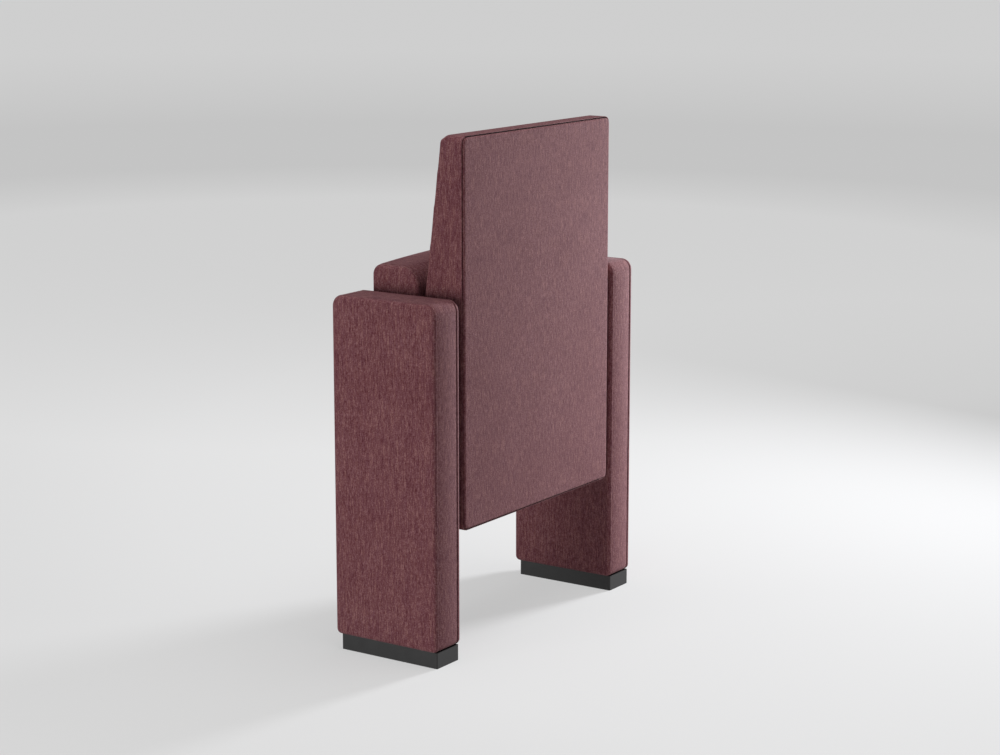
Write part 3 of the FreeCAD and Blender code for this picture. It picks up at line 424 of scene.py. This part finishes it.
def make_seat():
    (_, front, foot), (half, rear, top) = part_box("seat_cushion")
    rear -= SEAT_CROWN
    top -= SEAT_NOSE_CROWN
    band_half = half - SEAT_PAD
    body = seat_form("seat_cushion_cover", (-band_half, front, foot), (band_half, rear, top))
    bevel(body, rim(body, X, -band_half, band_half), BAND_EDGE, PINCH_STEPS)
    low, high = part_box("seat_under_panel")
    gap = Vector((TRAY_GAP, 0, TRAY_GAP))
    tray_depth = high[Y] - low[Y] + TRAY_GAP
    cut_tray(body, Vector(low) - gap, Vector(high) + gap, tray_depth, UNDER_PANEL_RADIUS)
    cut_rows(body, X, ROW)
    cut_rows(body, Y, ROW)
    cut_rows(body, Z, ROW)
    places = points_of(body)
    share = np.clip(1 - (places[:, X] / half) ** 2, 0, 1)
    deep = np.clip((places[:, Y] - front - SEAT_FRONT_RADIUS) / SEAT_NOSE_RADIUS, 0, 1)
    upper = np.clip((places[:, Z] - top + SEAT_NOSE_RADIUS) / SEAT_NOSE_RADIUS, 0, 1)
    places[:, Y] += SEAT_CROWN * share * deep
    places[:, Z] += SEAT_NOSE_CROWN * share * upper
    put_points(body, places)

    def held(points):
        side = (np.abs(points[:, X]) - band_half + ROW) / ROW
        base = 1 - (points[:, Y] - front - SEAT_FRONT_RADIUS) / SEAT_FRONT_RADIUS
        return np.maximum(side, base)

    fill_with_foam(body, SEAT_SWELL, held)
    dressed(body, "seat", "seat_cushion", SEAT_CLOTH)

    side = seat_form("seat_side_pad_left", (band_half, front, foot), (half, rear, top))
    bevel(side, rim(side, X, half), PAD_EDGE, PAD_EDGE_STEPS)
    bevel(side, rim(side, X, band_half), SEAM_PINCH, PINCH_STEPS)
    cut_rows(side, Y, ROW)
    cut_rows(side, Z, ROW)
    fill_with_foam(side, PAD_CROWN, all_but(X, half, PAD_EDGE / 4))
    other = mirrored_copy(side, "seat_side_pad_right")
    dressed(side, "seat", "seat_cushion", SEAT_CLOTH)
    dressed(other, "seat", "seat_cushion", SEAT_CLOTH)

    panel = block("seat_under_panel_cover", low, high)
    bevel(panel, along(panel, Y), UNDER_PANEL_RADIUS, CORNER_STEPS)
    bevel(panel, rim(panel, Y, low[Y]), SEAM_PINCH, EDGE_STEPS)
    cut_rows(panel, X, ROW)
    cut_rows(panel, Z, ROW)
    fill_with_foam(panel, UNDER_PANEL_CROWN, all_but(Y, low[Y], SEAM_PINCH))
    dressed(panel, "seat", "seat_under_panel", SEAT_CLOTH)


# Back

def round_corners(places, half, foot, top):
    """Draws the back's four outer corners in to a radius, and leaves the tray's edge where it is."""
    radius = BACK_CORNER_RADIUS
    kept = radius - BACK_RIM
    for x_way in (-1, 1):
        for z_way, end in ((-1, foot), (1, top)):
            centre = np.array((x_way * (half - radius), end - z_way * radius))
            out = (places[:, (X, Z)] - centre) * (x_way, z_way)
            reach = np.hypot(out[:, X], out[:, Y])
            corner = (out.min(axis=1) > 0) & (reach > kept)
            square = radius * reach[corner] / out[corner].max(axis=1)
            drawn = kept + (reach[corner] - kept) * (radius - kept) / (square - kept)
            shift = out[corner] * (drawn / reach[corner] - 1)[:, None] * (x_way, z_way)
            places[np.ix_(corner, (X, Z))] += shift


def make_back():
    (_, _, foot), (half, board, top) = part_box("back_cushion")
    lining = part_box("back_board")[0][Y] - BACK_LINING
    panel_low, panel_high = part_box("back_rear_panel")
    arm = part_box("side_border_left")[1][Z]
    rear = panel_high[Y]
    front = rear - BACK_ARM_DEPTH
    body = block("back_cushion_cover", (-half, lining, foot), (half, board + BACK_LIP, top))
    cut(body, Z, BACK_CHIN, arm)
    push(body, facing(Y, -1, (-FAR, -FAR, BACK_CHIN), (FAR, FAR, top)), (0, front - lining, 0))
    move(
        body, "VERT", lambda v: v.co.z > top - NEAR and v.co.y < front + NEAR,
        (0, BACK_ARM_DEPTH - BACK_TOP_DEPTH, 0),
    )
    for place, radius in (
        ((0, rear - BACK_TOP_DEPTH, top), BACK_TOP_RADIUS),
        ((0, front, arm), BACK_KNEE_WIDTH),
        ((0, front, BACK_CHIN), BACK_CHIN_RADIUS),
        ((0, lining, BACK_CHIN), BACK_INSIDE_RADIUS),
    ):
        bevel(body, along(body, X, place), radius, CORNER_STEPS)
    gap = Vector((TRAY_GAP, 0, TRAY_GAP))
    cut_tray(body, Vector(panel_low) - gap, Vector(panel_high) + gap, -BACK_LIP, REAR_CORNER_RADIUS)
    cut_rows(body, X, ROW)
    cut_rows(body, Y, FINE_ROW)
    cut_rows(body, Z, ROW)
    for step in CORNER_ROWS:
        inwards = BACK_CORNER_RADIUS * step
        cut(body, X, inwards - half, half - inwards)
        cut(body, Z, foot + inwards, top - inwards)
    places = points_of(body)
    share = np.clip(1 - (places[:, X] / half) ** 2, 0, 1)
    deep = np.clip((lining - places[:, Y]) / (lining - front), 0, 1)
    places[:, Y] -= BACK_CROWN * share * deep
    middle = (panel_low[Z] + panel_high[Z]) / 2
    tray_high = panel_high[Z] - middle
    in_tray = np.abs(places[:, X]) < panel_high[X] + 2 * TRAY_GAP
    in_tray &= np.abs(places[:, Z] - middle) < tray_high + 2 * TRAY_GAP
    slope = in_tray * np.clip((places[:, Y] - board) / BACK_LIP, 0, 1) * SEAM_OPENING
    places[:, X] *= 1 + slope / panel_high[X]
    places[:, Z] += slope * (places[:, Z] - middle) / tray_high
    round_corners(places, half, foot, top)
    put_points(body, places)

    def held(points):
        side = (np.abs(points[:, X]) - half + ROW) / ROW
        base = 1 - (lining - points[:, Y]) / BACK_INSIDE_RADIUS
        return np.maximum(side, base)

    fill_with_foam(body, BACK_SWELL, held)
    dressed(body, "stand", "back_cushion", BACK_CLOTH)

    panel = block("back_rear_panel_cover", panel_low, panel_high)
    bevel(panel, along(panel, Y), REAR_CORNER_RADIUS, CORNER_STEPS)
    bevel(panel, rim(panel, Y, panel_high[Y]), REAR_EDGE, EDGE_STEPS)
    cut_rows(panel, X, ROW)
    cut_rows(panel, Z, ROW)
    fill_with_foam(panel, REAR_CROWN, all_but(Y, panel_high[Y], REAR_EDGE))
    dressed(panel, "stand", "back_rear_panel", BACK_CLOTH)


# Shader sums

class Shade:
    """A socket in a material. Plain sums on it add Math nodes, and add() makes any other node."""

    def __init__(self, tree, socket=None):
        self.tree = tree
        self.socket = socket

    def add(self, kind, settings, inputs, output=0):
        made = self.tree.nodes.new(kind)
        for name, value in settings.items():
            if name == "stops":
                ramp = made.color_ramp
                while len(ramp.elements) < len(value):
                    ramp.elements.new(0.5)
                for element, (place, tone) in zip(ramp.elements, value):
                    element.position = place
                    element.color = tone
            else:
                setattr(made, name, value)
        for name, value in inputs.items():
            if isinstance(value, Shade):
                self.tree.links.new(value.socket, made.inputs[name])
            else:
                made.inputs[name].default_value = value
        return Shade(self.tree, made.outputs[output]) if made.outputs else None

    def sum(self, operation, first, second=0.0):
        return self.add("ShaderNodeMath", {"operation": operation}, {0: first, 1: second})

    def __add__(self, other):
        return self.sum("ADD", self, other)

    def __radd__(self, other):
        return self.sum("ADD", other, self)

    def __sub__(self, other):
        return self.sum("SUBTRACT", self, other)

    def __rsub__(self, other):
        return self.sum("SUBTRACT", other, self)

    def __mul__(self, other):
        return self.sum("MULTIPLY", self, other)

    def __rmul__(self, other):
        return self.sum("MULTIPLY", other, self)

    def __gt__(self, other):
        return self.sum("GREATER_THAN", self, other)

    def __abs__(self):
        return self.sum("ABSOLUTE", self)

    def sine(self):
        return self.sum("SINE", self)

    def choose(self, where, elsewhere):
        """where this mask is 1, the first value, and elsewhere the second."""
        return self * (where - elsewhere) + elsewhere

    def part(self, letter):
        return self.add("ShaderNodeSeparateXYZ", {}, {0: self}, output="XYZ".index(letter))

    def tones(self, *stops):
        return self.add("ShaderNodeValToRGB", {"stops": stops}, {0: self})

    def noise(self, scale, detail=2.0, rough=0.5):
        return self.add(
            "ShaderNodeTexNoise", {},
            {"Vector": self, "Scale": scale, "Detail": detail, "Roughness": rough},
        )


def new_material(name):
    material = bpy.data.materials.new(name)
    material.use_nodes = True
    tree = material.node_tree
    tree.nodes.clear()
    start = Shade(tree)
    coordinates = start.add("ShaderNodeTexCoord", {}, {}, output=3)
    return material, start, coordinates


def finish_material(start, **sockets):
    words = {name.replace("_", " "): value for name, value in sockets.items()}
    surface = start.add("ShaderNodeBsdfPrincipled", {}, words)
    start.add("ShaderNodeOutputMaterial", {}, {"Surface": surface})


def bump(start, height, strength, distance):
    return start.add(
        "ShaderNodeBump", {}, {"Height": height, "Strength": strength, "Distance": distance}
    )


def mix_colours(start, mask, first, second, blend="MIX"):
    settings = {"data_type": "RGBA", "blend_type": blend}
    return start.add("ShaderNodeMix", settings, {0: mask, 6: first, 7: second}, output=2)


def srgb(red, green, blue):
    """A colour written as it shows on a screen, in parts of 255."""
    def straight(value):
        value /= 255
        return value / 12.92 if value <= 0.04045 else ((value + 0.055) / 1.055) ** 2.4

    return (straight(red), straight(green), straight(blue), 1)


# Finishes

def upholstery_cloth(name, fold_y):
    """Plum heather cloth, its warp up the piece and over its top. fold_y is where the top turns."""
    material, start, place = new_material(name)
    normal = start.add("ShaderNodeTexCoord", {}, {}, output=1)
    on_side = abs(normal.part("X")) > 0.7
    x, y, z = place.part("X"), place.part("Y"), place.part("Z")
    across = on_side.choose(y, x)
    up = z - (1 - on_side) * abs(y - fold_y)

    def streaks(width, length, detail, rough):
        stretched = up * (width / length)
        lines = start.add("ShaderNodeCombineXYZ", {}, {0: across, 1: stretched, 2: on_side})
        return lines.noise(1 / width, detail, rough)

    slub = streaks(SLUB_WIDTH, SLUB_LENGTH, 2.0, 0.6)
    thread = streaks(THREAD_WIDTH, THREAD_LENGTH, 1.0, 0.5)
    speck = place.noise(SPECKS_PER_METRE, 1.0, 0.5)
    cloud = place.noise(CLOUDS_PER_METRE, 1.0, 0.5)
    depth = slub * 0.27 + thread * 0.33 + speck * 0.35 + cloud * 0.05
    weave = depth.tones(*((stop, srgb(*tone)) for stop, tone in zip(CLOTH_SPREAD, CLOTH_TONES)))
    tint = (slub * 0.6 + thread * 0.4).tones(
        (CLOTH_SPREAD[0], VIOLET_TINT), (CLOTH_SPREAD[-1], RUST_TINT)
    )
    colour = mix_colours(start, 1.0, weave, tint, "MULTIPLY")
    height = thread * 0.7 + slub * 0.4 + speck * 0.3
    finish_material(
        start,
        Base_Color=colour,
        Roughness=0.92,
        Specular_IOR_Level=0.25,
        Sheen_Weight=0.12,
        Sheen_Roughness=0.4,
        Sheen_Tint=(0.95, 0.85, 0.88, 1),
        Normal=bump(start, height, strength=0.3, distance=0.0004),
    )
    return material


def plinth_plastic():
    material, start, place = new_material("plinth_plastic")
    grain = place.noise(1800, 2.0, 0.6)
    wear = place.noise(60, 3.0, 0.6)
    colour = wear.tones((0.3, (0.006, 0.006, 0.006, 1)), (0.7, (0.011, 0.011, 0.011, 1)))
    finish_material(
        start,
        Base_Color=colour,
        Roughness=0.34 + wear * 0.12,
        Normal=bump(start, grain, strength=0.12, distance=0.0002),
    )
    return material


def grained(name, colour, roughness, grain, dark, spread, relief, metallic=0.0):
    """One colour, with a fine grain in its tone, its gloss and its relief."""
    material, start, place = new_material(name)
    per_metre, detail, rough = grain
    strength, distance = relief
    pattern = place.noise(per_metre, detail, rough)
    deep = tuple(part * dark for part in colour) + (1,)
    finish_material(
        start,
        Base_Color=pattern.tones((0.3, deep), (0.7, colour + (1,))),
        Metallic=metallic,
        Roughness=roughness + pattern * spread,
        Normal=bump(start, pattern, strength, distance),
    )
    return material


def metal(name, colour, roughness, streaks_per_metre):
    """Steel with a faint grain."""
    grain = (streaks_per_metre, 3.0, 0.6)
    return grained(
        name, colour, roughness, grain, dark=0.8, spread=0.15, relief=(0.08, 0.0002), metallic=1.0
    )


def paint(name, colour, roughness):
    """Powder coat with a fine orange peel."""
    grain = (900, 2.0, 0.5)
    return grained(name, colour, roughness, grain, dark=0.8, spread=0.1, relief=(0.25, 0.0003))


def soft_plastic(name, colour, roughness):
    """Rubber or nylon, a little mottled."""
    grain = (500, 2.0, 0.5)
    return grained(name, colour, roughness, grain, dark=0.85, spread=0.1, relief=(0.1, 0.0002))


def plywood():
    """Birch ply with the grain up the board and its layers on the edge."""
    material, start, place = new_material("plywood")
    x, y, z = place.part("X"), place.part("Y"), place.part("Z")
    stretched = start.add("ShaderNodeCombineXYZ", {}, {0: x, 1: y, 2: z * 0.06})
    grain = stretched.noise(160, 3.0, 0.55)
    layers = ((x + y) * (2 * math.pi / 0.003)).sine()
    tone = (grain + layers * 0.05).tones((0.35, srgb(176, 132, 84)), (0.65, srgb(214, 178, 128)))
    relief = bump(start, grain, strength=0.2, distance=0.0003)
    finish_material(start, Base_Color=tone, Roughness=0.6, Normal=relief)
    return material


# Metal, wood and plastic pieces of the frame

def dress_hard_parts():
    """Finishes for the rigid parts. The first word found in a part's name settles its finish."""
    steel = metal("bright_steel", (0.62, 0.63, 0.65), roughness=0.28, streaks_per_metre=700)
    spring = metal("spring_steel", (0.42, 0.42, 0.44), roughness=0.32, streaks_per_metre=900)
    frame_paint = paint("frame_paint", (0.03, 0.03, 0.033), roughness=0.45)
    finishes = (
        ("screws", steel),
        ("studs", steel),
        ("plinth", plinth_plastic()),
        ("foot_plate", frame_paint),
        ("frame", frame_paint),
        ("bracket", frame_paint),
        ("hinge_arm", frame_paint),
        ("stop_plate", frame_paint),
        ("buffers", soft_plastic("buffer_rubber", (0.012, 0.012, 0.012), roughness=0.7)),
        ("bush", soft_plastic("bush_nylon", (0.62, 0.60, 0.55), roughness=0.42)),
        ("clip", spring),
        ("spring", spring),
        ("stub", steel),
        ("stud", steel),
        ("board", plywood()),
        ("", PANEL_CLOTH),
    )
    for name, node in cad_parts.items():
        node.data.materials.clear()
        node.data.materials.append(next(finish for word, finish in finishes if word in name))


# Stage, light and camera

def make_stage():
    start_fresh()
    bpy.ops.mesh.primitive_plane_add(size=FLOOR_SIZE, location=(0, 0, 0))
    floor = bpy.context.object
    floor.name = "floor"
    material, start, place = new_material("floor_with_painted_light")

    # painted light on the floor: tones that change with distance from a place
    def painted_light_round(middle, tones):
        away = start.add(
            "ShaderNodeVectorMath", {"operation": "DISTANCE"}, {0: place, 1: middle}, output=1
        )
        share = away.sum("DIVIDE", away, away + PAINTED_LIGHT_HALF_REACH)
        return share.tones(*((stop, (tone, tone, tone, 1)) for stop, tone in tones))

    by_camera = start.add("ShaderNodeLightPath", {}, {}, output="Is Camera Ray")
    by_gloss = start.add("ShaderNodeLightPath", {}, {}, output="Is Glossy Ray")
    seen = by_camera + by_gloss
    finish_material(
        start,
        # the floor's seen colour is painted shade, darker near the key lamp, over a plain grey for
        # other rays
        Base_Color=mix_colours(start, seen, FLOOR_TONE, painted_light_round(KEY_PLACE, PAINTED_SHADE_NEAR_KEY_TONES)),
        Roughness=0.9,
        Specular_IOR_Level=0.1,
        # a painted pool of light: the floor glows for camera and glossy rays, in tones by distance from
        # a place
        Emission_Color=mix_colours(start, seen, (0, 0, 0, 1), painted_light_round(PAINTED_LIGHT_POOL_PLACE, PAINTED_LIGHT_POOL_TONES)),
        Emission_Strength=1.0,
    )
    floor.data.materials.append(material)


def area_light(name, place, target, size, power, tone=(1, 1, 1)):
    light = bpy.data.lights.new(name, "AREA")
    light.shape = "DISK"
    light.size = size
    light.energy = power
    light.color = tone
    lamp = bpy.data.objects.new(name, light)
    bpy.context.collection.objects.link(lamp)
    lamp.location = place
    lamp.rotation_euler = (Vector(target) - Vector(place)).to_track_quat("-Z", "Y").to_euler()


def make_light():
    world = bpy.data.worlds.new("studio")
    bpy.context.scene.world = world
    world.use_nodes = True
    sky = world.node_tree.nodes["Background"]
    sky.inputs["Color"].default_value = (1, 1, 1, 1)
    sky.inputs["Strength"].default_value = SKY_STRENGTH
    area_light("key", KEY_PLACE, KEY_TARGET, size=0.45, power=67, tone=KEY_TONE)
    area_light("fill", FILL_PLACE, FILL_TARGET, size=1.2, power=41)
    area_light("overhead", OVERHEAD_PLACE, (0, 0, 0), size=2.0, power=36)


def make_camera():
    camera = bpy.data.cameras.new("camera")
    camera.lens = LENS_MM
    camera.sensor_width = SENSOR_MM
    view = bpy.data.objects.new("camera", camera)
    bpy.context.collection.objects.link(view)
    view.location = CAMERA_PLACE
    yaw, pitch = math.radians(CAMERA_YAW), math.radians(CAMERA_PITCH)
    forward = Vector((
        -math.sin(yaw) * math.cos(pitch), -math.cos(yaw) * math.cos(pitch), -math.sin(pitch)
    ))
    view.rotation_euler = forward.to_track_quat("-Z", "Y").to_euler()
    bpy.context.scene.camera = view
    bpy.context.scene.view_settings.view_transform = "Standard"


make_camera()
PANEL_CLOTH = upholstery_cloth("panel_cloth", 0.0)
SEAT_CLOTH = upholstery_cloth("seat_cloth", SEAT_FOLD)
BACK_CLOTH = upholstery_cloth("back_cloth", BACK_FOLD)
dress_hard_parts()
make_panels()
make_seat()
make_back()
make_stage()
make_light()
start_fresh()
